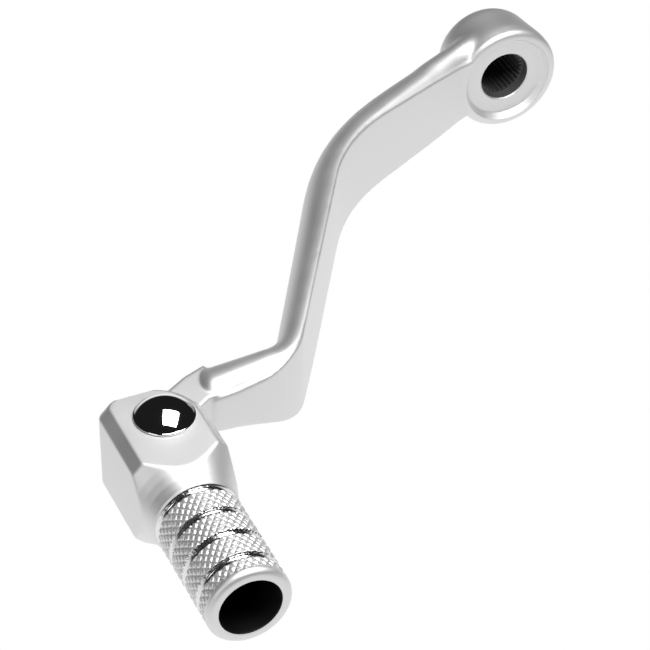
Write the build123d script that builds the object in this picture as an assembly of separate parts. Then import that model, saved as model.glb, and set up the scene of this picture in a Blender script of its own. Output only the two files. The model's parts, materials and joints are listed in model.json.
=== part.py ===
"""Motorcycle gear shift lever with a sprung folding toe piece.

Millimetres, +Z up. The shift shaft lies along Y and -Y is outboard, toward the rider's boot.
The lever reaches forward along -X. The origin is on the shaft axis, on the face inside the
recess of the hub where the washer of the shaft screw sits.

One forged arm carries a serrated hub at one end and a flat tongue at the other. The toe piece
is a clevis that straddles the tongue, turns about an upright rivet and is held out by a
torsion spring, so it folds back when it hits something.
"""
from build123d import *

import os
from math import atan2, cos, pi, radians, sin

os.makedirs("parts", exist_ok=True)

# Shaft hub
RING_RADIUS = 13.2
RING_FACE_Y = -1.6
RING_EDGE_RADIUS = 1.1
HUB_INNER_Y = 16.0
HUB_BACK_RADIUS = 5.5
HUB_TAPER = 1.2
RECESS_MOUTH_RADIUS = 11.0
RECESS_FLOOR_RADIUS = 9.9
COUNTERBORE_RADIUS = 6.1
COUNTERBORE_DEPTH = 2.7
SERRATION_COUNT = 30
SERRATION_TIP_RADIUS = 5.1
SERRATION_ROOT_RADIUS = 5.9

# Pivot of the toe piece, in the frame of the lever
PIVOT = Vector(-125.7, -97.8, 2.6)
RIVET_RADIUS = 3.0
RIVET_HEAD_RADIUS = 6.4
RIVET_RIM_HEIGHT = 0.5
RIVET_DOME_HEIGHT = 2.9
RIVET_TAIL_RADIUS = 4.6
RIVET_TAIL_HEIGHT = 1.9
RIVET_TAIL_RIM = 0.3
RIVET_WASHER_RADIUS = 6.2
RIVET_WASHER_THICKNESS = 1.0
BUSH_RADIUS = 4.25
RUNNING_CLEARANCE = 0.03
THRUST_WASHER_THICKNESS = 0.5
THRUST_WASHER_RADIUS = 5.2

# Tongue of the arm, in plan around the pivot
TONGUE_HALF = 4.5
TONGUE_RADIUS = 8.2
TONGUE_ROUNDING = 0.8
SHOULDER_X = 12.5
TONGUE_OVERLAP = 3.5
TONGUE_FRONT = (TONGUE_RADIUS * cos(radians(-20)), TONGUE_RADIUS * sin(radians(-20)))
STOP_ANGLE = radians(150)
STOP_TOUCH = (TONGUE_RADIUS * cos(STOP_ANGLE), TONGUE_RADIUS * sin(STOP_ANGLE))
STOP_DIRECTION = (sin(STOP_ANGLE), -cos(STOP_ANGLE))
STOP_LENGTH = 5.2
TONGUE_END_X = SHOULDER_X + TONGUE_OVERLAP
TONGUE_BACK = [(5.8, 14.1), (TONGUE_END_X, 18.6)]
TONGUE_OUTBOARD = [(TONGUE_END_X, 8.7), (11.7, 7.6)]

# Blade of the arm: corners of its four long outlines, and the radius at each inner corner
ARM_START_X = PIVOT.X + SHOULDER_X
ARM_END_X = 4.0
ARM_OUTBOARD = [(ARM_START_X, -89.7), (-92.9, -89.7), (-51.4, -21.2), (-9.5, -1.0), (ARM_END_X, -1.0)]
ARM_OUTBOARD_RADII = [14.0, 48.0, 20.0]
ARM_INBOARD = [(ARM_START_X, -78.0), (-94.3, -79.8), (-54.6, -10.8), (0.0, 13.8)]
ARM_INBOARD_RADII = [5.5, 70.0]
ARM_TOP = [(ARM_START_X, 8.3), (-88, 10.9), (-66, 10.9), (-32, 8.9), (-15, 8.9), (ARM_END_X, 11.6)]
ARM_TOP_RADII = [60.0, 60.0, 60.0, 20.0]
ARM_BOTTOM = [(ARM_START_X, -3.2), (-101, -4.9), (-84, -9.9), (-62, -9.9), (ARM_END_X, -8.6)]
ARM_BOTTOM_RADII = [40.0, 60.0, 60.0]
ARM_BACK_ROUNDING = 5.5
ARM_EDGE_ROUNDING = 0.8

# Toe piece, in a frame at the pivot: its barrel points along -Y, a little in front of the pivot
BARREL_X = -1.3
BLOCK_HALF_WIDTH = 10.3
BLOCK_HALF_HEIGHT = 10.6
BLOCK_CHAMFER = 2.2
EAR_CHAMFER = 1.8
SQUARE_BACK_END_X = -1.5
BLOCK_BACK_Y = 8.6
BLOCK_CORNER_RADIUS = 1.8
EAR_RADIUS = BLOCK_HALF_WIDTH + BARREL_X
SLOT_HALF = TONGUE_HALF + THRUST_WASHER_THICKNESS + RUNNING_CLEARANCE
SLOT_RADIUS = 8.7
SLOT_FLOOR_Y = -9.2
BARREL_RADIUS = 9.0
BARREL_END_Y = -47.2
BARREL_END_CHAMFER = 0.9
BARREL_BORE_RADIUS = 6.5
BARREL_BORE_FLOOR_Y = -17.5
CONE_START = (14.9, -9.7)
CONE_MIDDLE = (10.6, -15.8)
CONE_END = (9.2, -19.9)
NECK_Y = -21.0
GROOVE_SPACING = 6.95
GROOVE_COUNT = 4
GROOVE_WIDTH = 1.6
GROOVE_DEPTH = 0.8
GROOVE_FLOOR_HALF = 0.35

# Torsion spring around the bush, in a ring groove under the tongue
SPRING_RADIUS = 6.25
SPRING_WIRE = 1.0
SPRING_LEG_RADIUS = 0.49
SPRING_PITCH = 1.15
SPRING_TURNS = 2.25
SPRING_GROOVE_INNER = 5.5
SPRING_GROOVE_OUTER = 7.0
SPRING_GROOVE_DEPTH = 4.3
SPRING_LEG = 2.0
LEG_HOLE_CLEARANCE = 0.1


def turned(outline, axis):
    """Solid of revolution from a closed outline of lines and arcs."""
    edges = [edge for curve in outline for edge in curve.edges()]
    return revolve(make_face(edges), axis=axis)


def tube_y(radius, start, end):
    """Round bar along Y between two places."""
    bar = Rot(90, 0, 0) * Cylinder(radius, abs(end - start))
    return Pos(0, (start + end) / 2, 0) * bar


def at_pivot(shape):
    """Move a shape from the pivot's frame to the lever's."""
    return Pos(*PIVOT) * shape


def washer(outer, inner, thickness, bottom):
    """Flat ring about Z that starts at the given height."""
    ring = Cylinder(outer, thickness) - Cylinder(inner, thickness)
    return Pos(0, 0, bottom + thickness / 2) * ring


def save(shape, name):
    """Write one sub-part under its own name."""
    export_step(shape, f"parts/{name}.step")


# Arm -------------------------------------------------------------------------------------

def closed_outline(first, first_radii, second, second_radii):
    """Face between two rounded polylines that run side by side."""
    one = FilletPolyline(*first, radius=first_radii)
    other = FilletPolyline(*second, radius=second_radii)
    return make_face([*one.edges(), *other.edges(), Line(one @ 0, other @ 0), Line(one @ 1, other @ 1)])


def rims_along(solid, corners, radii):
    """Long edges of the blade that follow one of its plan outlines."""
    path = FilletPolyline(*corners, radius=radii)
    rims = []
    for edge in solid.edges():
        middle = edge.position_at(0.5)
        level = abs(edge.tangent_at(0.5).Z) < 0.9
        along = path.distance_to(Vector(middle.X, middle.Y, 0)) < 0.02
        if level and along and middle.X > ARM_START_X + 0.01:
            rims.append(edge)
    return rims


def arm_blade():
    """Curved blade from the shoulder to the hub: flat outboard face, full rounded back."""
    plan = closed_outline(ARM_OUTBOARD, ARM_OUTBOARD_RADII, ARM_INBOARD, ARM_INBOARD_RADII)
    side = closed_outline(ARM_TOP, ARM_TOP_RADII, ARM_BOTTOM, ARM_BOTTOM_RADII)
    depth = 200
    prism = Pos(0, 0, -depth / 2) * extrude(plan, depth)
    profile = Pos(0, depth / 2, 0) * Rot(90, 0, 0) * extrude(side, depth)
    blade = prism & profile
    blade = fillet(rims_along(blade, ARM_INBOARD, ARM_INBOARD_RADII), ARM_BACK_ROUNDING)
    return fillet(rims_along(blade, ARM_OUTBOARD, ARM_OUTBOARD_RADII), ARM_EDGE_ROUNDING)


# Hub -------------------------------------------------------------------------------------

def hub_body():
    """Round hub with a rolled front edge and a large rounding at the back."""
    back = HUB_INNER_Y - HUB_BACK_RADIUS
    front = RING_FACE_Y + RING_EDGE_RADIUS
    ring = RING_RADIUS - RING_EDGE_RADIUS
    waist = RING_RADIUS - HUB_TAPER
    end = waist - HUB_BACK_RADIUS
    outline = [
        Line((0, RING_FACE_Y), (ring, RING_FACE_Y)),
        RadiusArc((ring, RING_FACE_Y), (RING_RADIUS, front), -RING_EDGE_RADIUS),
        Line((RING_RADIUS, front), (waist, back)),
        RadiusArc((waist, back), (end, HUB_INNER_Y), -HUB_BACK_RADIUS),
        Line((end, HUB_INNER_Y), (0, HUB_INNER_Y)),
        Line((0, HUB_INNER_Y), (0, RING_FACE_Y)),
    ]
    return turned(outline, Axis.Y)


def hub_recess():
    """Dished seat for the washer and the counterbore behind it."""
    outline = Polyline(
        (0, RING_FACE_Y - 1),
        (RECESS_MOUTH_RADIUS, RING_FACE_Y - 1),
        (RECESS_MOUTH_RADIUS, RING_FACE_Y),
        (RECESS_FLOOR_RADIUS, 0),
        (COUNTERBORE_RADIUS, 0),
        (COUNTERBORE_RADIUS, COUNTERBORE_DEPTH),
        (0, COUNTERBORE_DEPTH),
        close=True,
    )
    return turned([outline], Axis.Y)


def serrated_bore():
    """Star-shaped bore for the serrations of the shift shaft."""
    points = []
    for step in range(2 * SERRATION_COUNT):
        radius = SERRATION_ROOT_RADIUS if step % 2 else SERRATION_TIP_RADIUS
        angle = pi * step / SERRATION_COUNT
        points.append((radius * cos(angle), radius * sin(angle)))
    star = make_face(Polyline(*points, close=True).edges())
    length = HUB_INNER_Y + 1
    return Rot(-90, 0, 0) * extrude(star, length)


# Tongue ----------------------------------------------------------------------------------

def tongue_outline():
    """Plan of the tongue around the pivot: round nose, then two flanks that widen to the arm."""
    nose_back = Vector(*STOP_TOUCH)
    stop_end = nose_back + Vector(*STOP_DIRECTION) * STOP_LENGTH
    nose_front = Vector(*TONGUE_FRONT)
    stop_face = Line(nose_back, stop_end)
    flank = Spline(stop_end, *TONGUE_BACK, tangents=[STOP_DIRECTION, (1, 0.12)])
    end = Line(TONGUE_BACK[-1], TONGUE_OUTBOARD[0])
    front = Spline(*TONGUE_OUTBOARD, nose_front, tangents=[(-1, 0), (-0.34, -0.94)])
    nose = ThreePointArc(nose_front, (-TONGUE_RADIUS, 0), nose_back)
    return make_face([edge for curve in (stop_face, flank, end, front, nose) for edge in curve.edges()])


def spring_groove():
    """Ring groove in the underside of the tongue, with the hole for the spring's upper leg."""
    bottom = -TONGUE_HALF
    groove = washer(SPRING_GROOVE_OUTER, SPRING_GROOVE_INNER, SPRING_GROOVE_DEPTH + 1, bottom - 1)
    hole = Cylinder(SPRING_WIRE / 2 + LEG_HOLE_CLEARANCE, 2 * SPRING_LEG)
    top = bottom + SPRING_GROOVE_DEPTH
    return groove + Pos(*leg_place(SPRING_TURNS), top) * hole


def tongue():
    """Milled plate of the arm that enters the toe piece."""
    plate = Pos(0, 0, -TONGUE_HALF) * extrude(tongue_outline(), 2 * TONGUE_HALF)
    rims = plate.faces().sort_by(Axis.Z)[-1].edges() + plate.faces().sort_by(Axis.Z)[0].edges()
    return fillet(rims.filter_by(lambda edge: edge.center().X < SHOULDER_X), TONGUE_ROUNDING)


def lever_arm():
    """Forged arm: hub, curved blade and milled tongue."""
    body = arm_blade() + hub_body() + at_pivot(tongue())
    bore = hub_recess() + serrated_bore()
    pivot_holes = Cylinder(BUSH_RADIUS, 4 * TONGUE_HALF) + spring_groove()
    return body - bore - at_pivot(pivot_holes)


# Toe piece -------------------------------------------------------------------------------

def chamfered_bar(left, right, start, end):
    """Stretch of the chamfered bar that the block is milled from, between two X and two Y."""
    sides = (BARREL_X - BLOCK_HALF_WIDTH, EAR_RADIUS)
    half = BLOCK_HALF_HEIGHT
    cut = BLOCK_CHAMFER
    outline = Polyline(
        (sides[0], cut - half), (sides[0] + cut, -half), (sides[1] - cut, -half), (sides[1], cut - half),
        (sides[1], half - cut), (sides[1] - cut, half), (sides[0] + cut, half), (sides[0], half - cut),
        close=True,
    )
    bar = Rot(90, 0, 0) * extrude(make_face(outline.edges()), start - end)
    window = Box(right - left, end - start, 3 * half)
    return Pos(0, start, 0) * bar & Pos((left + right) / 2, (start + end) / 2, 0) * window


def ear_disc():
    """Round ear about the pivot with chamfered rims, cut off at the back of the block."""
    half = BLOCK_HALF_HEIGHT
    cut = EAR_CHAMFER
    outline = Polyline(
        (0, -half), (EAR_RADIUS - cut, -half), (EAR_RADIUS, cut - half),
        (EAR_RADIUS, half - cut), (EAR_RADIUS - cut, half), (0, half),
        close=True,
    )
    disc = Rot(90, 0, 0) * turned([outline], Axis.Y)
    window = Box(2 * EAR_RADIUS, 2 * EAR_RADIUS, 3 * half)
    return disc & Pos(0, BLOCK_BACK_Y - EAR_RADIUS, 0) * window


def block():
    """Squared block around the pivot with a rounded rear corner and chamfered long edges."""
    left = BARREL_X - BLOCK_HALF_WIDTH
    front_part = chamfered_bar(left, EAR_RADIUS, BARREL_END_Y, 0)
    back_part = chamfered_bar(left, SQUARE_BACK_END_X, 0, BLOCK_BACK_Y)
    upright = back_part.edges().filter_by(Axis.Z).sort_by(Axis.X)[:2].sort_by(Axis.Y)[-1]
    back_part = fillet(upright, BLOCK_CORNER_RADIUS)
    return front_part + back_part + ear_disc()


def turned_stock():
    """What the lathe leaves: block end, cone, barrel with ring grooves and a chamfered end."""
    groove_profile = []
    for step in range(GROOVE_COUNT):
        middle = NECK_Y - step * GROOVE_SPACING
        for depth, side in ((0, 1), (1, 1), (1, -1), (0, -1)):
            half = GROOVE_FLOOR_HALF if depth else 0.5
            place = middle + side * GROOVE_WIDTH * half
            groove_profile.append((BARREL_RADIUS - GROOVE_DEPTH * depth, place))
    outline = [
        Line((0, 30), (30, 30)),
        Line((30, 30), (30, CONE_START[1])),
        Line((30, CONE_START[1]), CONE_START),
        Spline(CONE_START, CONE_MIDDLE, CONE_END, tangents=[(-0.8, -0.75), (-0.12, -1)]),
        Polyline(CONE_END, *groove_profile, (BARREL_RADIUS, BARREL_END_Y + BARREL_END_CHAMFER)),
        Polyline(
            (BARREL_RADIUS, BARREL_END_Y + BARREL_END_CHAMFER),
            (BARREL_RADIUS - BARREL_END_CHAMFER, BARREL_END_Y),
            (0, BARREL_END_Y),
            (0, 30),
        ),
    ]
    return Pos(BARREL_X, 0, 0) * turned(outline, Axis.Y)


def clevis_slot():
    """Slot for the tongue: closed in front and outboard, open to the back and the rear."""
    touch = Vector(*STOP_TOUCH)
    run = Vector(*STOP_DIRECTION)
    far = touch + run * 20
    open_x = 4 * EAR_RADIUS
    opening = Polyline((0, 0), STOP_TOUCH, (far.X, far.Y), (open_x, far.Y), (open_x, 0), close=True)
    corner = Polyline((0, 0), (open_x, 0), (open_x, SLOT_FLOOR_Y), (0, SLOT_FLOOR_Y), close=True)
    cutter = Circle(SLOT_RADIUS)
    plan = make_face(opening.edges()) + make_face(corner.edges()) + cutter
    return Pos(0, 0, -SLOT_HALF) * extrude(plan, 2 * SLOT_HALF)


def toe_piece():
    """Clevis block and grooved barrel in one piece."""
    body = block() & turned_stock()
    body = body - clevis_slot()
    body = body - Pos(BARREL_X, 0, 0) * tube_y(BARREL_BORE_RADIUS, BARREL_END_Y - 1, BARREL_BORE_FLOOR_Y)
    body = body - Cylinder(RIVET_RADIUS, 4 * BLOCK_HALF_HEIGHT)
    leg_hole = Cylinder(SPRING_WIRE / 2 + LEG_HOLE_CLEARANCE, 2 * SPRING_LEG)
    body = body - Pos(*leg_place(0), -SLOT_HALF) * leg_hole
    return at_pivot(body)


# Pivot hardware --------------------------------------------------------------------------

def domed_disc(radius, rim, dome):
    """Disc with an upright rim and a spherical crown, standing on Z = 0."""
    outline = [
        Line((0, 0), (radius, 0)),
        Line((radius, 0), (radius, rim)),
        ThreePointArc((radius, rim), crown_middle(radius, rim, dome), (0, rim + dome)),
        Line((0, rim + dome), (0, 0)),
    ]
    return Rot(90, 0, 0) * turned(outline, Axis.Y)


def crown_middle(radius, rim, dome):
    """Point half way round a crown of the given radius and height."""
    sphere = (radius ** 2 + dome ** 2) / (2 * dome)
    angle = atan2(radius, sphere - dome) / 2
    return sphere * sin(angle), rim + dome - sphere * (1 - cos(angle))


def pivot_rivet():
    """Chromed rivet with a large domed head and a peened tail."""
    top = BLOCK_HALF_HEIGHT
    tail = BLOCK_HALF_HEIGHT + RIVET_WASHER_THICKNESS
    head = Pos(0, 0, top) * domed_disc(RIVET_HEAD_RADIUS, RIVET_RIM_HEIGHT, RIVET_DOME_HEIGHT)
    shank = Pos(0, 0, (top - tail) / 2) * Cylinder(RIVET_RADIUS, top + tail)
    crown = RIVET_TAIL_HEIGHT - RIVET_TAIL_RIM
    peen = Pos(0, 0, -tail) * Rot(180, 0, 0) * domed_disc(RIVET_TAIL_RADIUS, RIVET_TAIL_RIM, crown)
    return at_pivot(head + shank + peen)


def rivet_washer():
    """Washer under the peened tail."""
    bottom = -BLOCK_HALF_HEIGHT - RIVET_WASHER_THICKNESS
    ring = washer(RIVET_WASHER_RADIUS, RIVET_RADIUS, RIVET_WASHER_THICKNESS, bottom)
    return at_pivot(ring)


def pivot_bush():
    """Plain bush pressed into the tongue."""
    bush = washer(BUSH_RADIUS, RIVET_RADIUS + RUNNING_CLEARANCE, 2 * TONGUE_HALF, -TONGUE_HALF)
    return at_pivot(bush)


def thrust_washer(bottom):
    """Thin washer between the tongue and one ear."""
    inner = RIVET_RADIUS + RUNNING_CLEARANCE
    return at_pivot(washer(THRUST_WASHER_RADIUS, inner, THRUST_WASHER_THICKNESS, bottom))


def leg_place(turns):
    """Plan position of the spring wire after a number of turns."""
    angle = 2 * pi * turns
    return SPRING_RADIUS * cos(angle), SPRING_RADIUS * sin(angle)


def return_spring():
    """Torsion spring: open coils and a straight leg up into the tongue and down into the ear."""
    bottom = -TONGUE_HALF + SPRING_WIRE
    height = SPRING_PITCH * SPRING_TURNS
    coil_path = Pos(0, 0, bottom) * Helix(SPRING_PITCH, height, SPRING_RADIUS)
    start = coil_path @ 0
    section = Plane(origin=start, z_dir=coil_path % 0) * Circle(SPRING_WIRE / 2)
    coil = sweep(section, path=coil_path)
    wire = SPRING_WIRE / 2
    lower = Pos(start.X, start.Y, bottom - SPRING_LEG / 2) * Cylinder(SPRING_LEG_RADIUS, SPRING_LEG)
    finish = coil_path @ 1
    top = bottom + height + SPRING_LEG / 2
    upper = Pos(finish.X, finish.Y, top) * Cylinder(SPRING_LEG_RADIUS, SPRING_LEG)
    knuckle = Sphere(wire)
    knuckles = Pos(*start) * knuckle + Pos(*finish) * knuckle
    return at_pivot(coil + knuckles + lower + upper)


save(lever_arm(), "lever_arm")
save(toe_piece(), "toe_piece")
save(pivot_rivet(), "pivot_rivet")
save(rivet_washer(), "rivet_washer")
save(pivot_bush(), "pivot_bush")
save(thrust_washer(TONGUE_HALF), "upper_thrust_washer")
save(thrust_washer(-TONGUE_HALF - THRUST_WASHER_THICKNESS), "lower_thrust_washer")
save(return_spring(), "return_spring")
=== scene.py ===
"""Visual model of a gear shift lever with a sprung folding toe piece.

Metres, +Z up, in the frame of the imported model. Sizes in this file are millimetres until a mesh
is made. The arm carries the shaft hub and a flat tongue; the toe piece is turned and milled from
one bar, straddles the tongue and folds about an upright chromed rivet.
"""
import json
from math import atan2, cos, pi, radians, sin, tan
from types import SimpleNamespace

import bmesh
import bpy
import numpy as np
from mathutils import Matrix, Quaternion, Vector


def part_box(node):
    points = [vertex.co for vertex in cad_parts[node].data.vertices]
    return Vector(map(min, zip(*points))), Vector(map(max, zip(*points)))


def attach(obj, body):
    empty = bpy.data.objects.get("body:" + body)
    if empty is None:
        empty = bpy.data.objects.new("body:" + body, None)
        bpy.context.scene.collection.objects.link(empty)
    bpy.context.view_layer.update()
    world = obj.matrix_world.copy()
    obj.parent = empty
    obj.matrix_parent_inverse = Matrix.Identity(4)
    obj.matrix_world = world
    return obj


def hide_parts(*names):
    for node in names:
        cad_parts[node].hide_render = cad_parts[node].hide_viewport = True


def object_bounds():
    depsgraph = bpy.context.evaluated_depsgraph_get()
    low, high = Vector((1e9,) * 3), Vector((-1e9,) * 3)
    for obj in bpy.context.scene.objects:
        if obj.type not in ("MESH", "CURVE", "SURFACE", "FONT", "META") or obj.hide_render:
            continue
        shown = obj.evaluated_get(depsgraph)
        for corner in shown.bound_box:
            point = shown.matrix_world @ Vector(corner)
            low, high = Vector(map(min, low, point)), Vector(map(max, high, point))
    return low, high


bl_info = {
    "name": "Gear shift lever",
    "version": (1, 0, 0),
    "blender": (4, 5, 0),
    "location": "View3D > Sidebar > Shift lever",
    "description": "Builds a forged gear shift lever with a knurled folding toe piece",
    "category": "Object",
}

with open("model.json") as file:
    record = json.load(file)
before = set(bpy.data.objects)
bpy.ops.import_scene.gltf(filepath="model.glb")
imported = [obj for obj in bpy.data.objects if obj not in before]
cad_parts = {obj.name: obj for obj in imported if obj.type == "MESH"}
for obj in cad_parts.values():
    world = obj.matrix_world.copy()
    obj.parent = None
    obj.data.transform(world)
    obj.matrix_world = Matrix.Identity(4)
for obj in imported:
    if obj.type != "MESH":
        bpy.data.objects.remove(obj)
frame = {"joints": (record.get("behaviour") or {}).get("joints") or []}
CAD_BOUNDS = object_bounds()
MM = 0.001

# How far the skin of a piece stays inside its node, mm
SKIN = 0.02

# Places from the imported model, mm. The toe piece is measured from its pivot.
PIVOT = Vector(frame["joints"][0]["pos_m"]) / MM
HUB_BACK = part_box("lever_arm")[1].y / MM
TOE_LOW, TOE_HIGH = (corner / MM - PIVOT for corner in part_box("toe_piece"))
TOE_TOP = TOE_HIGH.z
BARREL_END = TOE_LOW.y
BLOCK_OUTBOARD = 10.3
BARREL_X = TOE_LOW.x + BLOCK_OUTBOARD


# Settings --------------------------------------------------------------------------------

def length(name, millimetres, description):
    """A length that the sidebar shows."""
    return bpy.props.FloatProperty(
        name=name, default=millimetres * MM, description=description,
        unit="LENGTH", precision=5, step=0.01, soft_min=0,
    )


def count_of(name, default, description):
    """A number of like features, at least three."""
    return bpy.props.IntProperty(name=name, default=default, description=description, min=3)


def share_of(name, default, description):
    """A level from nothing to full."""
    return bpy.props.FloatProperty(
        name=name, default=default, description=description, subtype="FACTOR", min=0, max=1
    )


def power(name, default, description):
    """The power of a lamp."""
    return bpy.props.FloatProperty(name=name, default=default, description=description, unit="POWER", min=0)


def colour(name, default, description):
    """A linear colour that the sidebar shows."""
    return bpy.props.FloatVectorProperty(
        name=name, default=default, description=description, subtype="COLOR", size=3, min=0, max=1
    )


class LeverArmSettings(bpy.types.PropertyGroup):
    """Sizes of the arm and its hub."""
    ring_radius: length("Hub radius", 13.1, "Outer radius of the hub at its front ring")
    ring_edge: length("Ring edge", 1.5, "Rounding of the front ring")
    recess_radius: length("Recess", 9.9, "Radius of the flat washer seat")
    back_rounding: length("Back rounding", 6.0, "Rounding of the back of the hub")
    bore_radius: length("Bore", 6.1, "Radius of the plain mouth of the bore")
    serrations: count_of("Serrations", 30, "Teeth in the bore")
    edge: length("Outboard edge", 0.6, "Rounding of the crisp outboard edges of the blade")
    voxel: length("Forging detail", 0.34, "Cell of the remesh that blends hub, blade and tongue")


class ToePieceSettings(bpy.types.PropertyGroup):
    """Sizes of the toe piece."""
    barrel_radius: length("Barrel radius", 8.97, "Crest radius of the knurled barrel")
    bore_radius: length("Barrel bore", 6.5, "Radius of the blind bore in the barrel")
    bore_depth: length("Bore depth", 29.7, "Depth of the blind bore")
    diamonds: count_of("Diamonds", 32, "Knurl diamonds around the barrel")
    lead: length("Knurl lead", 2.1, "Distance along the barrel from one diamond to the next")
    knurl_depth: length("Knurl depth", 0.3, "Depth of the cuts between the diamonds")
    groove_depth: length("Groove depth", 0.85, "Depth of the ring grooves")
    groove_width: length("Groove width", 1.7, "Width of the ring grooves")
    softness: length("Edge softness", 0.28, "How far the milled edges are broken")


class FinishAndShadeSettings(bpy.types.PropertyGroup):
    """Colours of the finishes, and the painted shade inside the bores."""
    aluminium: colour("Aluminium", (0.86, 0.86, 0.865), "Satin silver of the arm and toe piece")
    chrome: colour("Chrome", (0.86, 0.86, 0.87), "Rivet")
    steel: colour("Steel", (0.62, 0.62, 0.63), "Washers")
    bronze: colour("Bronze", (0.62, 0.4, 0.2), "Pivot bush")
    wire: colour("Spring wire", (0.36, 0.36, 0.38), "Torsion spring")
    # Painted shade: the two bore colours are dark colours that stand in for the shade deep inside the hub
    # and the barrel.
    shaft_hole_shade: colour("Shaft bore", (0.17, 0.17, 0.175), "Inside of the hub")
    barrel_hole_shade: colour("Barrel bore", (0.012, 0.012, 0.013), "Inside of the barrel")


class StageSettings(bpy.types.PropertyGroup):
    """Light levels of the stage."""
    world: share_of("Room", 0.012, "Strength of the even room light")
    floor: share_of("Floor glow", 0.95, "Light that the floor sends back")
    key: power("Key", 6.2, "Power of the soft box above")
    side: power("Side", 0.6, "Power of the soft box on the left")


def in_millimetres(group):
    """Values of a settings group, with its lengths in millimetres."""
    values = {}
    for name in group.__annotations__:
        value = getattr(group, name)
        values[name] = value / MM if group.bl_rna.properties[name].unit == "LENGTH" else value
    return SimpleNamespace(**values)


# Outlines --------------------------------------------------------------------------------

def rounded_line(corners, radii, steps=8):
    """Open line with its inner corners rounded, and the index of the middle of each rounding."""
    corners = [Vector(corner) for corner in corners]
    points = [corners[0]]
    middles = []
    for before, corner, after, radius in zip(corners, corners[1:], corners[2:], radii):
        first = (before - corner).normalized()
        second = (after - corner).normalized()
        half = first.angle(second) / 2
        reach = radius / tan(half)
        centre = corner + (first + second).normalized() * radius / sin(half)
        start = corner + first * reach - centre
        end = corner + second * reach - centre
        turn = pi - 2 * half
        middles.append(len(points) + steps // 2)
        for step in range(steps + 1):
            share = step / steps
            spoke = start * sin((1 - share) * turn) + end * sin(share * turn)
            points.append(centre + spoke / sin(turn))
    points.append(corners[-1])
    return points, middles


def resample(points, count):
    """Points at even distances along a line."""
    points = np.array([tuple(point) for point in points])
    distance = np.concatenate([[0], np.cumsum(np.linalg.norm(np.diff(points, axis=0), axis=1))])
    at = np.linspace(0, distance[-1], count)
    return np.stack([np.interp(at, distance, column) for column in points.T], axis=1)


def matched_spans(line, middles, counts):
    """Line resampled span by span, so that two lines with the same bends pair up."""
    stops = [0] + middles + [len(line) - 1]
    spans = []
    for start, end, count in zip(stops, stops[1:], counts):
        spans.append(resample(line[start:end + 1], count + 1)[:-1])
    spans.append(np.array([tuple(line[-1])]))
    return np.concatenate(spans)


# Meshes ----------------------------------------------------------------------------------

def piece_from(name, points, faces, centre=(0, 0, 0)):
    """Object from points in millimetres, moved by centre."""
    mesh = bpy.data.meshes.new(name)
    place = (np.array(points) + np.array(tuple(centre))) * MM
    mesh.from_pydata([tuple(point) for point in place], [], faces)
    work = bmesh.new()
    work.from_mesh(mesh)
    bmesh.ops.remove_doubles(work, verts=work.verts, dist=MM * 1e-4)
    bmesh.ops.recalc_face_normals(work, faces=work.faces)
    work.to_mesh(mesh)
    work.free()
    piece = bpy.data.objects.new(name, mesh)
    bpy.context.scene.collection.objects.link(piece)
    return piece


def grid_faces(rows, columns, closed_ends=True):
    """Faces of rings of points, one after another, with the first and last ring capped."""
    faces = []
    for row in range(rows - 1):
        for column in range(columns):
            beside = (column + 1) % columns
            here = row * columns
            after = here + columns
            faces.append((here + column, here + beside, after + beside, after + column))
    if closed_ends:
        faces.append(tuple(range(columns)))
        faces.append(tuple(reversed(range((rows - 1) * columns, rows * columns))))
    return faces


def turned_rings(outline, axis, segments):
    """Rings around an axis from (radius, height) points."""
    rings = []
    for radius, height in outline:
        for step in range(segments):
            angle = 2 * pi * step / segments
            first = radius * cos(angle)
            second = radius * sin(angle)
            rings.append((first, second, height) if axis == "Z" else (first, height, second))
    return rings


def lathe(name, outline, centre, axis="Z", segments=96):
    """Turned body from (radius, height) points, closed at both ends."""
    outline = [(max(radius, 1e-3), height) for radius, height in outline]
    rings = turned_rings(outline, axis, segments)
    return piece_from(name, rings, grid_faces(len(outline), segments), centre)


def ring_from(name, outline, segments):
    """Ring around the pivot from a closed outline of (radius, height) points."""
    closed = [*outline, outline[0]]
    rings = turned_rings(closed, "Z", segments)
    return piece_from(name, rings, grid_faces(len(closed), segments, False), PIVOT)


def modify(piece, kind, **settings):
    """Adds a modifier to a piece."""
    modifier = piece.modifiers.new(kind.lower(), kind)
    for name, value in settings.items():
        setattr(modifier, name, value)


def apply_modifiers(piece):
    """Turns the modifiers of a piece into its mesh."""
    bpy.context.view_layer.update()
    evaluated = piece.evaluated_get(bpy.context.evaluated_depsgraph_get())
    mesh = bpy.data.meshes.new_from_object(evaluated)
    piece.modifiers.clear()
    old = piece.data
    piece.data = mesh
    bpy.data.meshes.remove(old)


def combine(piece, operation, *others):
    """Joins pieces to a piece, or takes them out of it, and removes them."""
    for other in others:
        modify(piece, "BOOLEAN", operation=operation, solver="EXACT", object=other)
        apply_modifiers(piece)
        bpy.data.objects.remove(other)


def smooth_shading(piece, sharp_degrees=32):
    """Smooth shading with edges kept sharp above an angle."""
    piece.data.shade_smooth()
    piece.data.set_sharp_from_angle(angle=radians(sharp_degrees))


def finish_piece(piece, body, slot, node, *materials):
    """Gives a piece its materials and body, and hides the node that it stands for. The slot is not used."""
    piece.data.materials.clear()
    for material in materials:
        piece.data.materials.append(material)
    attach(piece, body)
    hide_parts(node)


def mark_faces(piece, index, chosen):
    """Gives the faces whose centre passes a test another material of the piece."""
    for face in piece.data.polygons:
        if chosen(face.center / MM):
            face.material_index = index


# Shader maths ----------------------------------------------------------------------------

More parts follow.
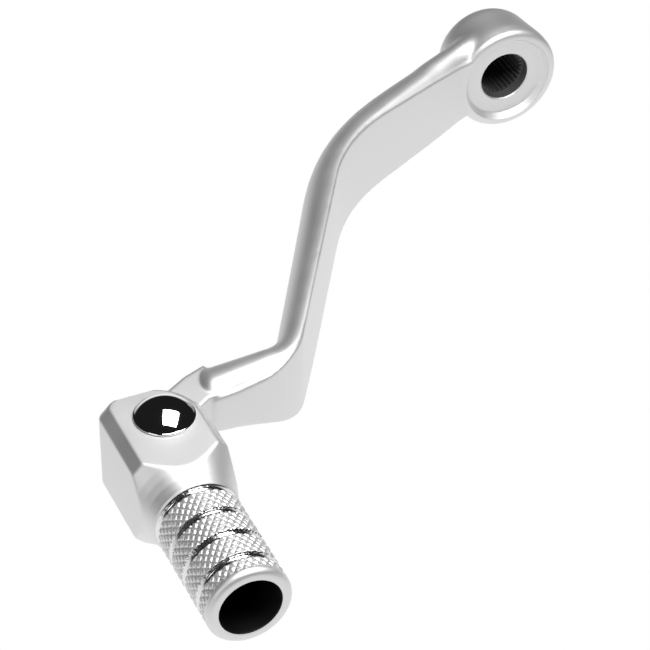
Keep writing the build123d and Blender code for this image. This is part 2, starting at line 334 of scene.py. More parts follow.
class Value:
    """A socket in shader maths. Its operators add Math nodes."""

    def __init__(self, shader, socket):
        self.shader = shader
        self.socket = socket

    def maths(self, operation, first, second):
        """Math node on two values."""
        node = self.shader.node("ShaderNodeMath", {"operation": operation}, {0: first, 1: second})
        return Value(self.shader, node.outputs[0])

    def __add__(self, other):
        return self.maths("ADD", self, other)

    __radd__ = __add__

    def __sub__(self, other):
        return self.maths("SUBTRACT", self, other)

    def __rsub__(self, other):
        return self.maths("SUBTRACT", other, self)

    def __mul__(self, other):
        return self.maths("MULTIPLY", self, other)

    __rmul__ = __mul__


class Nodes:
    """Emptied node tree of a material or a world."""

    def __init__(self, owner):
        owner.use_nodes = True
        self.tree = owner.node_tree
        self.tree.nodes.clear()

    def node(self, kind, settings, inputs):
        """Node of a type, with its settings first and then its values and links."""
        node = self.tree.nodes.new(kind)
        for name, value in settings.items():
            if name == "stops":
                for element, (position, shade) in zip(node.color_ramp.elements, value):
                    element.position = position
                    element.color = (shade, shade, shade, 1)
            else:
                setattr(node, name, value)
        for name, value in inputs.items():
            source = value.socket if isinstance(value, Value) else value
            if isinstance(source, bpy.types.NodeSocket):
                self.tree.links.new(source, node.inputs[name])
            else:
                node.inputs[name].default_value = source
        return node


class Shader(Nodes):
    """Material on a Principled shader."""

    def __init__(self, name, sockets):
        self.material = bpy.data.materials.new(name)
        super().__init__(self.material)
        self.surface = self.node("ShaderNodeBsdfPrincipled", {}, sockets)
        self.node("ShaderNodeOutputMaterial", {}, {"Surface": self.surface.outputs[0]})
        self.place = self.node("ShaderNodeTexCoord", {}, {}).outputs["Object"]

    def noise(self, size, detail=3.0, stretch=(1, 1, 1)):
        """Noise with a grain of a size in millimetres, stretched along an axis."""
        mapping = self.node("ShaderNodeMapping", {}, {"Vector": self.place, "Scale": stretch})
        grain = {"Vector": mapping.outputs[0], "Scale": 1 / (size * MM), "Detail": detail}
        return Value(self, self.node("ShaderNodeTexNoise", {}, grain).outputs[0])

    def band(self, value, low, high):
        """Value run through a ramp from black at low to white at high."""
        node = self.node("ShaderNodeValToRGB", {"stops": ((low, 0), (high, 1))}, {"Fac": value})
        return Value(self, node.outputs[0])

    def tint(self, mask, first, second):
        """Colour between two colours, each a socket or a shade, by a mask."""
        first, second = (
            side if isinstance(side, bpy.types.NodeSocket) else (*side, 1) for side in (first, second)
        )
        return self.node("ShaderNodeMix", {"data_type": "RGBA"}, {0: mask, 6: first, 7: second}).outputs[2]

    def relief(self, height, depth, strength=1.0):
        """Bump of a depth in millimetres."""
        bump = {"Height": height, "Distance": depth * MM, "Strength": strength}
        self.link("Normal", self.node("ShaderNodeBump", {}, bump).outputs[0])

    def link(self, name, value):
        """Feeds a socket of the surface."""
        source = value.socket if isinstance(value, Value) else value
        self.tree.links.new(source, self.surface.inputs[name])


def darker(shade, amount):
    """Colour scaled by an amount."""
    return tuple(part * amount for part in shade)


def satin_aluminium(name, shade, roughness, grain, lathe_lines=0.0):
    """Blasted and polished aluminium: fine pits, cloudy sheen and, on turned parts, tool lines."""
    shader = Shader(name, {"Metallic": 1.0})
    pits = shader.noise(grain, 4.0)
    clouds = shader.noise(9.0, 2.0)
    scuffs = shader.band(shader.noise(0.6, 5.0, (1, 1, 6)), 0.56, 0.75)
    shader.link("Base Color", shader.tint(clouds * 0.6 + pits * 0.3, darker(shade, 0.93), shade))
    shader.link("Roughness", roughness - 0.05 + clouds * 0.07 + pits * 0.05 - scuffs * 0.04)
    height = pits + scuffs * 0.25
    if lathe_lines:
        lines = shader.noise(0.22, 2.0, (0.02, 1, 0.02))
        height = height * (1 - lathe_lines) + lines * lathe_lines
    shader.relief(height, 0.012, 0.5)
    return shader.material


def mirror_chrome(name, shade):
    """Polished chrome with faint wiping marks."""
    shader = Shader(name, {"Metallic": 1.0})
    wiping = shader.noise(1.6, 4.0, (1, 5, 1))
    haze = shader.band(shader.noise(2.4, 5.0), 0.5, 0.8)
    shader.link("Base Color", shader.tint(haze * 0.5, shade, darker(shade, 0.9)))
    shader.link("Roughness", 0.035 + wiping * 0.03 + haze * 0.05)
    shader.relief(wiping, 0.002, 0.2)
    return shader.material


def plain_steel(name, shade, roughness):
    """Plated or drawn steel with fine grain and patches of wear."""
    shader = Shader(name, {"Metallic": 1.0})
    grain = shader.noise(0.18, 3.0)
    wear = shader.band(shader.noise(1.5, 4.0), 0.45, 0.7)
    shader.link("Base Color", shader.tint(wear, shade, darker(shade, 0.8)))
    shader.link("Roughness", roughness + grain * 0.1 + wear * 0.08)
    shader.relief(grain, 0.006, 0.5)
    return shader.material


def painted_bore_shade(name, shade):
    """Painted shade for the inside of a bore: a dark colour that stands in for the shade deep in the hole,
    with drilling lines.
    """
    shader = Shader(name, {"Metallic": 0.6})
    lines = shader.noise(0.35, 3.0, (0.05, 1, 0.05))
    shader.link("Base Color", shader.tint(lines, shade, darker(shade, 0.6)))
    shader.link("Roughness", 0.55 + lines * 0.15)
    shader.relief(lines, 0.01, 0.5)
    return shader.material


# Arm -------------------------------------------------------------------------------------

BLADE_START = PIVOT.x + 12.5
HUB_FRONT = -1.55

# Corners of each line of the blade with the radii of its bends: plan lines, then side lines
OUTBOARD_LINE = (
    [(BLADE_START - 1.2, -89.7), (-92.9, -89.7), (-51.4, -21.2), (-9.5, -0.9), (4, -0.9)],
    (14, 48, 20),
)
INBOARD_LINE = (
    [(BLADE_START + 0.6, -78.1), (-94.3, -79.8), (-54.6, -10.8), (0, 13.8)],
    (5.5, 70),
)
CROWN_LINE = (
    [(BLADE_START - 2, 7.8), (-93, 11.3), (-83, 11.5), (-62, 10.7), (-24, 9.9), (-13, 10.2), (4, 12.9)],
    (30, 30, 60, 60, 20),
)
BELLY_LINE = (
    [(BLADE_START - 2, -3.2), (-101, -4.9), (-84, -9.9), (-62, -9.9), (4, -8.6)],
    (40, 60, 60),
)
BLADE_SPANS = (30, 70, 60)

# Section of the blade: where the ridge lies across its width, and how deep the crown curves
RIDGE_LEAST, RIDGE_SPREAD, FULL_DROP = 0.06, 0.32, 1.5
CROWN_SAG = 0.44
UNDERSIDE_SLOPE = 0.5
CLOSING_RINGS = 6

# How far the outboard edge of the blade lies below its crown, along X
EDGE_DROP_X = (-113, -106, -99, -94, -86, -62, -40, -24, -18, -12, -2, 4)
EDGE_DROP = (2.0, 2.4, 1.8, 0.6, 0, 0, 0.4, 1.1, 1.8, 2.6, 2.4, 2.2)

TONGUE_NOSE = 8.2
TONGUE_EASED_X = 12
TONGUE_LAYERS = ((0.8, -4.5), (0.25, -4.3), (0, -3.8), (0, 3.8), (0.25, 4.3), (0.8, 4.5))
BUSH_HOLE = 4.25
TOOTH_ROOT, TOOTH_TIP, TOOTH_LAND = 5.9, 5.12, 0.32
SERRATIONS_START = 2.0
BORE_WALL = 6.4
JUNCTION_RADIUS, JUNCTION_REACH = 13.6, 3.5


def blade_section(width, low, high, drop, edge):
    """Section of the blade: a crisp outboard edge that lies lower by the drop, and a broad crown."""
    ridge = width * (RIDGE_LEAST + RIDGE_SPREAD * min(1, drop / FULL_DROP))
    reach = width - ridge
    sag = CROWN_SAG * (high - low)
    edge_steps, slope_steps, crown_steps = 6, 8, 18
    half = []
    for step in range(edge_steps + 1):
        lean = 0.5 * pi * step / edge_steps
        half.append((edge - edge * cos(lean), high - drop - edge + edge * sin(lean)))
    for step in range(1, slope_steps + 1):
        share = step / slope_steps
        across = edge + (ridge - edge) * share
        half.append((across, high - drop * (1 - share) ** 2))
    for step in range(1, crown_steps + 1):
        lean = 0.5 * pi * step / crown_steps
        half.append((ridge + reach * sin(lean), high - sag + sag * cos(lean)))
    under = []
    for across, z in half:
        slope = UNDERSIDE_SLOPE if across < ridge else 1
        under.append((across, low + (high - z) * slope))
    return half + under[::-1]


def blade(settings):
    """Curved blade of the arm, drawn in over its first rings."""
    outboard, outer_bends = rounded_line(*OUTBOARD_LINE)
    inboard, inner_bends = rounded_line(*INBOARD_LINE)
    outer = matched_spans(outboard, outer_bends[:2], BLADE_SPANS)
    inner = matched_spans(inboard, inner_bends, BLADE_SPANS)
    crown_line, belly_line = (
        np.array([tuple(point) for point in rounded_line(*line)[0]]) for line in (CROWN_LINE, BELLY_LINE)
    )
    rings = []
    for index, (near, far) in enumerate(zip(outer, inner)):
        share = min(1, (index + 1) / CLOSING_RINGS)
        closing = (1 - (1 - share) ** 2) ** 0.5
        across = far - near
        width = np.linalg.norm(across)
        x = (near[0] + far[0]) / 2
        high = np.interp(x, crown_line[:, 0], crown_line[:, 1])
        low = np.interp(x, belly_line[:, 0], belly_line[:, 1])
        drop = np.interp(x, EDGE_DROP_X, EDGE_DROP)
        middle = (high + low) / 2
        for offset, z in blade_section(width, low, high, drop, settings.edge):
            offset = width / 2 + (offset - width / 2) * closing
            spot = near + across * offset / width
            rings.append((spot[0], spot[1], middle + (z - middle) * closing))
    columns = len(rings) // len(outer)
    return piece_from("blade", rings, grid_faces(len(outer), columns))


def hub(settings):
    """Solid hub with a rolled ring and a domed back."""
    ring = settings.ring_radius
    back = HUB_BACK - 0.05
    corners = [
        (0, HUB_FRONT), (ring - 0.1, HUB_FRONT), (ring, 2), (ring - 0.7, 8), (ring - 1.5, back), (0, back)
    ]
    outline, _ = rounded_line(corners, (settings.ring_edge, 4, 10, settings.back_rounding))
    return lathe("hub", outline, (0, 0, 0), "Y", 128)


def arc(radius, angles):
    """Points of a circle at angles in degrees."""
    return [(radius * cos(radians(angle)), radius * sin(radians(angle))) for angle in angles]


def tongue():
    """Flat plate around the pivot that runs into the blade."""
    nose = arc(TONGUE_NOSE, range(-210, -19, 6))
    plan = nose + [(9.3, 3.6), (10.4, 6.6), (13, 8.4), (16, 8.9), (16, 18.9), (11, 17.2), (5.8, 14.2)]
    plan += [(0.2, 10.9), (-4.4, 8.7)]
    rings = []
    for inset, z in TONGUE_LAYERS:
        for x, y in plan:
            keep = 1 - inset / (x * x + y * y) ** 0.5 if x < TONGUE_EASED_X else 1
            rings.append((x * keep, y * keep, z))
    return piece_from("tongue", rings, grid_faces(len(TONGUE_LAYERS), len(plan)), PIVOT)


def hub_cutter(settings):
    """Dished washer seat and the plain mouth of the bore."""
    seat = settings.recess_radius
    bore = settings.bore_radius
    corners = [
        (0, -3), (11.6, -3), (10.95, -1.4), (seat, 0), (bore + 0.3, 0), (bore, 0.3), (bore, 2.7), (0, 2.7)
    ]
    outline, _ = rounded_line(corners, (0.4, 0.5, 0.5, 0.12, 0.12, 0.15), 4)
    return lathe("recess", outline, (0, 0, 0), "Y", 128)


def serrated_cutter(settings):
    """Star-shaped bore with small flats on the tips."""
    corners = 4 * settings.serrations
    rings = []
    for y in (SERRATIONS_START, HUB_BACK + 1):
        for step in range(corners):
            radius = TOOTH_ROOT if step % 4 < 2 else TOOTH_TIP
            shift = TOOTH_LAND if step % 2 == 0 else -TOOTH_LAND
            angle = 2 * pi * (step + shift) / corners
            rings.append((radius * cos(angle), y, radius * sin(angle)))
    return piece_from("serrations", rings, grid_faces(2, corners))


def blend_junction(piece):
    """Smooths the crease where the blade runs into the hub."""
    group = piece.vertex_groups.new(name="junction")
    for vertex in piece.data.vertices:
        spot = vertex.co / MM
        reach = (spot.x * spot.x + spot.z * spot.z) ** 0.5
        beside = max(0.0, 1 - abs(reach - JUNCTION_RADIUS) / JUNCTION_REACH)
        if spot.x < 0 and spot.y > -0.2 and beside > 0:
            group.add([vertex.index], min(1.0, beside * 1.4), "REPLACE")
    modify(piece, "SMOOTH", vertex_group=group.name, factor=0.7, iterations=40)
    apply_modifiers(piece)
    piece.vertex_groups.clear()


def shift_arm(settings, finish_and_shade_colours):
    """Arm with its hub, blade and tongue blended into one forging, then bored."""
    piece = blade(settings)
    combine(piece, "UNION", hub(settings), tongue())
    modify(piece, "REMESH", mode="VOXEL", voxel_size=settings.voxel * MM, adaptivity=0)
    modify(piece, "SMOOTH", factor=0.5, iterations=5)
    apply_modifiers(piece)
    blend_junction(piece)
    bush_hole = lathe("bush_hole", [(0, -9), (BUSH_HOLE, -9), (BUSH_HOLE, 9), (0, 9)], PIVOT, "Z", 64)
    spring_groove = ring_from("spring_groove", [(5.5, -6), (7, -6), (7, -0.2), (5.5, -0.2)], 64)
    combine(piece, "DIFFERENCE", hub_cutter(settings), serrated_cutter(settings), bush_hole, spring_groove)
    piece.name = "shift_arm"
    smooth_shading(piece, 38)
    silver = satin_aluminium("arm_satin_aluminium", finish_and_shade_colours.aluminium, 0.56, 0.22)
    # Painted shade: a dark colour inside the shaft bore stands in for the shade there.
    bore = painted_bore_shade("arm_hole_painted_shade", finish_and_shade_colours.shaft_hole_shade)
    finish_piece(piece, "arm", "arm_aluminium", "lever_arm", silver, bore)

    def inside_bore(centre):
        return centre.y > 0.5 and centre.x * centre.x + centre.z * centre.z < BORE_WALL ** 2

    # The faces inside the bore take the painted shade.
    mark_faces(piece, 1, inside_bore)


class SHIFTER_OT_arm(bpy.types.Operator):
    """Build the arm with its hub and tongue"""
    bl_idname = "shifter.arm"
    bl_label = "Arm"

    def execute(self, context):
        shift_arm(in_millimetres(context.scene.shifter_arm), context.scene.shifter_finishes)
        return {"FINISHED"}


# Toe piece -------------------------------------------------------------------------------

BLOCK_INBOARD = 9.0
BLOCK_BACK = 8.6
BLOCK_CORNER = 2.4
CHAMFER_INBOARD, CHAMFER_OUTBOARD = 2.0, 2.2
STOCK_Y = (-9, 8.6, 9.7, 11.0, 12.5, 14.2, 15.8, 17.5, 19.0, 20.0)
STOCK_RADIUS = (16.5, 15.6, 14.9, 13.75, 12.6, 11.45, 10.6, 9.85, 9.4, 9.15)
GROOVES = [-21.0 - 6.95 * step for step in range(4)]
GROOVE_WALL = 0.35
KNURL_HALF_CUT = 0.26
LIP_ROUNDING = 1.25
SLOT_RADIUS, SLOT_FLOOR, SLOT_HALF_HEIGHT, SLOT_STOP = 8.7, -9.2, 5.03, 150
RIVET_SHANK = 3.0


def soft_min(first, second, softness):
    """Smaller of two distances, with the corner between them rounded."""
    blend = np.clip(0.5 + 0.5 * (second - first) / softness, 0, 1)
    return second * (1 - blend) + first * blend - softness * blend * (1 - blend)


def flat_reach(angle, facing, distance):
    """Distance along a ray at an angle to a flat that faces another angle."""
    lean = np.cos(angle - facing)
    return np.where(lean > 0.02, distance / np.maximum(lean, 0.02), 1e3)


def stock_radius(y):
    """Radius that the lathe leaves at y: block corners, cone and neck."""
    return np.interp(-y, STOCK_Y, STOCK_RADIUS)


def block_radius(angle, y, softness):
    """Reach of the milled block from the barrel axis at an angle and a y."""
    half = TOE_TOP - SKIN
    right = BLOCK_INBOARD - BARREL_X
    if y > 0:
        right = max(BLOCK_INBOARD ** 2 - y * y, 0.5) ** 0.5 - BARREL_X
    left = BLOCK_OUTBOARD - SKIN
    into_corner = y - (BLOCK_BACK - BLOCK_CORNER)
    if into_corner > 0:
        left += max(BLOCK_CORNER ** 2 - into_corner ** 2, 0) ** 0.5 - BLOCK_CORNER
    reach = soft_min(flat_reach(angle, 0, right), flat_reach(angle, pi, left), softness)
    for facing in (pi / 2, -pi / 2):
        reach = soft_min(reach, flat_reach(angle, facing, half), softness)
    for facing, side, chamfer in (
        (pi / 4, right, CHAMFER_INBOARD), (-pi / 4, right, CHAMFER_INBOARD),
        (3 * pi / 4, left, CHAMFER_OUTBOARD), (-3 * pi / 4, left, CHAMFER_OUTBOARD),
    ):
        bevel = (side + half - chamfer) / 2 ** 0.5
        reach = soft_min(reach, flat_reach(angle, facing, bevel), softness)
    return reach


def groove_dip(y, middle, settings):
    """Depth of a ring groove with sloped walls at y."""
    share = np.clip((settings.groove_width / 2 - abs(y - middle)) / GROOVE_WALL, 0, 1)
    return settings.groove_depth * share


def knurl_dip(angle, y, settings):
    """Depth of the crossed knurl cuts."""
    around = angle * settings.diamonds / (2 * pi)
    along = y / settings.lead
    dip = np.zeros_like(angle)
    for turn in (around + along, around - along):
        off = np.abs(turn - np.round(turn))
        dip = np.maximum(dip, np.clip(1 - off / KNURL_HALF_CUT, 0, 1))
    return settings.knurl_depth * dip


def toe_rows(settings, angle):
    """Rings of the toe piece from the bore's floor, over the barrel, to the back of the block."""
    end = BARREL_END
    floor = end + settings.bore_depth
    bore = settings.bore_radius
    radius = settings.barrel_radius
    flat = np.ones_like(angle)
    rows = [(floor, flat * 1e-3), (floor - 1.5, flat * (bore - 0.4)), (floor - 2, flat * bore)]
    rows += [(y, flat * bore) for y in np.linspace(floor - 6, end + 0.5, 6)]
    for rise, spread in ((0.16, 0.04), (0.04, 0.16), (0, 0.4), (0, 1.0)):
        rows.append((end + rise, flat * (bore + spread)))
    for step in range(9):
        lean = 0.5 * pi * step / 8
        reach = radius - LIP_ROUNDING * (1 - sin(lean))
        rows.append((end + LIP_ROUNDING * (1 - cos(lean)), flat * reach))
    knurl_start = end + 1.6
    knurl_end = -21.4
    row_spacing = 0.14
    for y in np.arange(end + 1.4, -20.0, row_spacing):
        ends = np.clip((y - knurl_start) / 0.35, 0, 1) * np.clip((knurl_end - y) / 0.3, 0, 1)
        dip = max(groove_dip(y, middle, settings) for middle in GROOVES)
        cut_depth = knurl_dip(angle, y, settings) * ends
        rows.append((y, radius - np.maximum(cut_depth, dip * flat)))
    cone_and_block = [np.arange(-19.9, -8.0, 0.2), np.linspace(-7.9, 5.8, 14), np.linspace(6.0, 8.5, 14)]
    for y in np.concatenate(cone_and_block):
        reach = block_radius(angle, y, settings.softness)
        rows.append((y, soft_min(reach, stock_radius(y) * flat, settings.softness * 1.4)))
    last = block_radius(angle, 8.5, settings.softness)
    rows += [(BLOCK_BACK - 0.02, last - 0.12), (BLOCK_BACK, last - 0.4), (BLOCK_BACK, flat * 1e-3)]
    return rows


def toe_bar(settings, finish_and_shade_colours):
    """Toe piece with its milled block, cone, knurled barrel and blind bore."""
    columns = settings.diamonds * 8
    angle = np.linspace(0, 2 * pi, columns, endpoint=False)
    rings = []
    rows = toe_rows(settings, angle)
    for y, reach in rows:
        for turn, distance in zip(angle, reach):
            rings.append((BARREL_X + distance * cos(turn), y, distance * sin(turn)))
    piece = piece_from("toe_bar", rings, grid_faces(len(rows), columns), PIVOT)
    hole = lathe("rivet_hole", [(0, -20), (RIVET_SHANK, -20), (RIVET_SHANK, 20), (0, 20)], PIVOT, "Z", 64)
    combine(piece, "DIFFERENCE", slot_cutter(), hole)
    smooth_shading(piece, 50)
    silver = satin_aluminium("toe_satin_aluminium", finish_and_shade_colours.aluminium, 0.54, 0.2, 0.35)
    # Painted shade: a near-black colour inside the blind bore stands in for the deep shade in the barrel.
    bore = painted_bore_shade("barrel_hole_painted_shade", finish_and_shade_colours.barrel_hole_shade)
    bright = satin_aluminium("groove_bright_aluminium", finish_and_shade_colours.aluminium, 0.16, 0.2, 0.6)
    finish_piece(piece, "toe", "toe_aluminium", "toe_piece", silver, bore, bright)
    axis = PIVOT + Vector((BARREL_X, 0, 0))

    def inside_bore(centre):
        spot = centre - axis
        reach = (spot.x ** 2 + spot.z ** 2) ** 0.5
        return BARREL_END + 0.1 < spot.y < -9 and reach < settings.bore_radius + 0.1

    def inside_groove(centre):
        spot = centre - axis
        reach = (spot.x ** 2 + spot.z ** 2) ** 0.5
        beside = min(abs(place - spot.y) for place in GROOVES)
        return beside < settings.groove_width / 2 and 7 < reach < settings.barrel_radius - 0.15

    # The faces inside the blind bore take the painted shade.
    mark_faces(piece, 1, inside_bore)
    mark_faces(piece, 2, inside_groove)


def slot_cutter():
    """Slot of the clevis, closed in front and outboard."""
    nose = arc(SLOT_RADIUS, range(SLOT_STOP, 265, 6))
    away = 20
    far = (nose[0][0] + away * sin(radians(SLOT_STOP)), nose[0][1] - away * cos(radians(SLOT_STOP)))
    plan = [far] + nose + [(0, SLOT_FLOOR), (2 * away, SLOT_FLOOR), (2 * away, far[1])]
    rings = [(x, y, z) for z in (-SLOT_HALF_HEIGHT, SLOT_HALF_HEIGHT) for x, y in plan]
    return piece_from("slot", rings, grid_faces(2, len(plan)), PIVOT)


class SHIFTER_OT_toe(bpy.types.Operator):
    """Build the toe piece"""
    bl_idname = "shifter.toe"
    bl_label = "Toe piece"

    def execute(self, context):
        toe_bar(in_millimetres(context.scene.shifter_toe), context.scene.shifter_finishes)
        return {"FINISHED"}


# Pivot hardware --------------------------------------------------------------------------

def crown(radius, rim, dome, steps=24):
    """Outline of a spherical crown from its rim to its middle."""
    sphere = (radius ** 2 + dome ** 2) / (2 * dome)
    widest = atan2(radius, sphere - dome)
    points = []
    for step in range(steps + 1):
        lean = widest * (1 - step / steps)
        points.append((sphere * sin(lean), rim + dome - sphere * (1 - cos(lean))))
    return points


def rivet(finish_and_shade_colours):
    """Chromed rivet: domed head with a rolled rim, shank and peened tail."""
    low, high = (corner.z / MM - PIVOT.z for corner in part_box("pivot_rivet"))
    seat = TOE_TOP
    tail = -seat - 1
    rim = [(6.1, 0.0), (6.3, 0.05), (6.38, 0.18), (6.39, 0.36), (6.33, 0.5), (6.22, 0.56)]
    dome = crown(6.15, 0.6, high - seat - 0.6)
    tail_dome = reversed(crown(4.4, 0.3, tail - low - 0.3))
    outline = [(radius, tail - height) for radius, height in tail_dome]
    outline += [(4.55, tail - 0.2), (4.6, tail - 0.1), (4.55, tail)]
    outline += [(RIVET_SHANK, tail), (RIVET_SHANK, seat)]
    outline += [(radius, height + seat) for radius, height in rim + dome]
    piece = lathe("dome_rivet", outline, PIVOT, "Z", 160)
    smooth_shading(piece, 50)
    chrome = mirror_chrome("rivet_mirror_chrome", finish_and_shade_colours.chrome)
    finish_piece(piece, "toe", "rivet_chrome", "pivot_rivet", chrome)


def flat_ring(name, node, inner, slot, body, material):
    """Washer or bush with broken edges, in the place of its node."""
    low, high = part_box(node)
    outer = (high.x - low.x) / MM / 2
    bottom = low.z / MM - PIVOT.z
    top = high.z / MM - PIVOT.z
    edge = 0.12
    outline = [
        (inner, bottom + edge), (inner + edge, bottom), (outer - edge, bottom), (outer, bottom + edge),
        (outer, top - edge), (outer - edge, top), (inner + edge, top), (inner, top - edge),
    ]
    piece = ring_from(name, outline, 96)
    smooth_shading(piece, 30)
    finish_piece(piece, body, slot, node, material)


def spring(finish_and_shade_colours):
    """Torsion spring: round wire with an upright leg at each end."""
    low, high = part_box("return_spring")
    bottom = low.z / MM - PIVOT.z
    top = high.z / MM - PIVOT.z
    coil, wire = 6.25, 0.49
    pitch, turns = 1.15, 2.25
    coil_start = -3.5
    coil_end = coil_start + pitch * turns
    leg = 0.6
    count = 73
    curve = bpy.data.curves.new("return_wire", "CURVE")
    curve.dimensions = "3D"
    curve.bevel_depth = wire * MM
    curve.bevel_resolution = 4
    curve.use_fill_caps = True
    line = curve.splines.new("POLY")
    path = [(coil, 0, bottom + SKIN), (coil, 0, coil_start - leg)]
    for step in range(count):
        share = step / (count - 1)
        turn = 2 * pi * turns * share
        path.append((coil * cos(turn), coil * sin(turn), coil_start + (coil_end - coil_start) * share))
    path += [(0, coil, coil_end + leg), (0, coil, top - SKIN)]
    line.points.add(len(path) - 1)
    for point, spot in zip(line.points, path):
        point.co = (*((Vector(spot) + PIVOT) * MM), 1)
    piece = bpy.data.objects.new("return_wire", curve)
    bpy.context.scene.collection.objects.link(piece)
    steel = plain_steel("spring_wire", finish_and_shade_colours.wire, 0.32)
    finish_piece(piece, "arm", "spring_steel", "return_spring", steel)


class SHIFTER_OT_rivet(bpy.types.Operator):
    """Build the chromed rivet"""
    bl_idname = "shifter.rivet"
    bl_label = "Rivet"

    def execute(self, context):
        rivet(context.scene.shifter_finishes)
        return {"FINISHED"}


class SHIFTER_OT_rings(bpy.types.Operator):
    """Build the washers and the bush around the rivet"""
    bl_idname = "shifter.rings"
    bl_label = "Washers and bush"

    def execute(self, context):
        finish_and_shade_colours = context.scene.shifter_finishes
        steel = plain_steel("plated_washer", finish_and_shade_colours.steel, 0.28)
        bronze = plain_steel("oiled_bronze", finish_and_shade_colours.bronze, 0.34)
        flat_ring("tail_washer", "rivet_washer", 3.02, "washer_steel", "toe", steel)
        flat_ring("thrust_ring_upper", "upper_thrust_washer", 3.05, "washer_steel", "arm", steel)
        flat_ring("thrust_ring_lower", "lower_thrust_washer", 3.05, "washer_steel", "arm", steel)
        flat_ring("bronze_bush", "pivot_bush", 3.03, "bush_bronze", "arm", bronze)
        return {"FINISHED"}


class SHIFTER_OT_spring(bpy.types.Operator):
    """Build the torsion spring"""
    bl_idname = "shifter.spring"
    bl_label = "Spring"

    def execute(self, context):
        spring(context.scene.shifter_finishes)
        return {"FINISHED"}


# Stage -----------------------------------------------------------------------------------

FLOOR_SIZE = 6
FLOOR_GAP = 0.0003
GLOW_NEAR, GLOW_FAR, GLOW_REST = 0.12, 0.42, 0.12
LEVER_MIDDLE = Vector((-0.06, -0.06, 0))
LENS, SENSOR, CAMERA_ROLL = 166.15, 36, -0.247
CAMERA_PLACE = Vector((-0.28269, -0.52651, 0.40323))
CAMERA_AIM = Vector((-0.07784, -0.06922, 0))


def pale_floor(glow):
    """Floor that shows white, and lights the metal with a glow that fades away from the lever."""
    black = {"Base Color": (0, 0, 0, 1), "Roughness": 1, "Specular IOR Level": 0, "Emission Strength": 1}
    shader = Shader("pale_floor", black)
    away = shader.node("ShaderNodeVectorMath", {"operation": "LENGTH"}, {0: shader.place})
    span = {"From Min": GLOW_NEAR, "From Max": GLOW_FAR, "To Min": 1, "To Max": GLOW_REST}
    near = shader.node("ShaderNodeMapRange", {}, {"Value": away.outputs["Value"], **span})
    fading = shader.tint(near.outputs["Result"], (0, 0, 0), (glow, glow, glow))
    seen = shader.node("ShaderNodeLightPath", {}, {}).outputs["Is Camera Ray"]
    shader.link("Emission Color", shader.tint(seen, fading, (1, 1, 1)))
    return shader.material


def floor(height, material):
    """Level stage plane under the lever."""
    mesh = bpy.data.meshes.new("floor")
    half = FLOOR_SIZE / 2
    corners = [(-half, -half, 0), (half, -half, 0), (half, half, 0), (-half, half, 0)]
    mesh.from_pydata(corners, [], [(0, 1, 2, 3)])
    mesh.materials.append(material)
    plane = bpy.data.objects.new("floor", mesh)
    plane.location = (LEVER_MIDDLE.x, LEVER_MIDDLE.y, height)
    bpy.context.scene.collection.objects.link(plane)


def soft_box(name, aim, offset, size, watts):
    """Rectangular studio light at an offset from the spot that it points at."""
    lamp = bpy.data.lights.new(name, "AREA")
    lamp.shape = "RECTANGLE"
    lamp.size, lamp.size_y = size
    lamp.energy = watts
    light = bpy.data.objects.new(name, lamp)
    light.location = aim + Vector(offset)
    light.rotation_euler = (-Vector(offset)).to_track_quat("-Z", "Y").to_euler()
    bpy.context.scene.collection.objects.link(light)


def studio(settings):
    """Pale floor, even room light and two soft boxes."""
    scene = bpy.context.scene
    scene.world = bpy.data.worlds.new("studio_room")
    room = Nodes(scene.world)
    even = room.node("ShaderNodeBackground", {}, {"Color": (1, 1, 1, 1), "Strength": settings.world})
    room.node("ShaderNodeOutputWorld", {}, {"Surface": even.outputs[0]})
    floor(CAD_BOUNDS[0][2] - FLOOR_GAP, pale_floor(settings.floor))
    soft_box("key_box", PIVOT * MM, (0.16, -0.07, 0.62), (0.58, 0.46), settings.key)
    soft_box("side_box", LEVER_MIDDLE, (-0.55, -0.3, 0.24), (0.3, 0.2), settings.side)
    scene.view_settings.view_transform = "Standard"


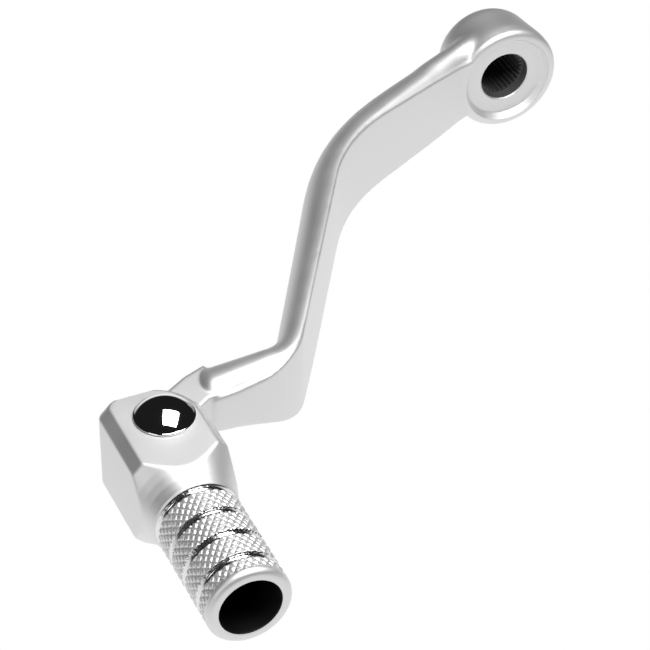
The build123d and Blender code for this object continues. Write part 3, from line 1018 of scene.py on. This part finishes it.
def camera():
    """Long lens, looking down on the outboard side."""
    data = bpy.data.cameras.new("view")
    data.lens = LENS
    data.sensor_width = SENSOR
    data.clip_start = 0.01
    view = bpy.data.objects.new("view", data)
    view.location = CAMERA_PLACE
    line = CAMERA_AIM - CAMERA_PLACE
    facing = line.to_track_quat("-Z", "Y")
    facing.rotate(Quaternion(line, radians(CAMERA_ROLL)))
    view.rotation_euler = facing.to_euler()
    bpy.context.scene.collection.objects.link(view)
    bpy.context.scene.camera = view


class SHIFTER_OT_stage(bpy.types.Operator):
    """Build the stage, its light and the camera"""
    bl_idname = "shifter.stage"
    bl_label = "Stage"

    def execute(self, context):
        studio(context.scene.shifter_stage)
        camera()
        return {"FINISHED"}


# Add-on ----------------------------------------------------------------------------------

OPERATORS = (
    SHIFTER_OT_stage, SHIFTER_OT_arm, SHIFTER_OT_toe, SHIFTER_OT_rivet, SHIFTER_OT_rings, SHIFTER_OT_spring,
)
SETTINGS = {
    "shifter_arm": LeverArmSettings,
    "shifter_toe": ToePieceSettings,
    "shifter_finishes": FinishAndShadeSettings,
    "shifter_stage": StageSettings,
}


class SHIFTER_PT_pieces(bpy.types.Panel):
    """Pieces of the lever"""
    bl_label = "Shift lever"
    bl_idname = "SHIFTER_PT_pieces"
    bl_space_type = "VIEW_3D"
    bl_region_type = "UI"
    bl_category = "Shift lever"

    def draw(self, context):
        for operator in OPERATORS:
            self.layout.operator(operator.bl_idname)
        for name, group in SETTINGS.items():
            box = self.layout.box()
            for setting in group.__annotations__:
                box.prop(getattr(context.scene, name), setting)


def register():
    """Adds the settings, operators and panel."""
    for name, group in SETTINGS.items():
        bpy.utils.register_class(group)
        setattr(bpy.types.Scene, name, bpy.props.PointerProperty(type=group))
    for item in (*OPERATORS, SHIFTER_PT_pieces):
        bpy.utils.register_class(item)


def unregister():
    """Removes the panel, operators and settings."""
    for item in (SHIFTER_PT_pieces, *reversed(OPERATORS)):
        bpy.utils.unregister_class(item)
    for name, group in SETTINGS.items():
        delattr(bpy.types.Scene, name)
        bpy.utils.unregister_class(group)


def main():
    """Registers the add-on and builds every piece."""
    register()
    bpy.ops.shifter.stage()
    bpy.ops.shifter.arm()
    bpy.ops.shifter.toe()
    bpy.ops.shifter.rivet()
    bpy.ops.shifter.rings()
    bpy.ops.shifter.spring()


if __name__ == "__main__":
    main()
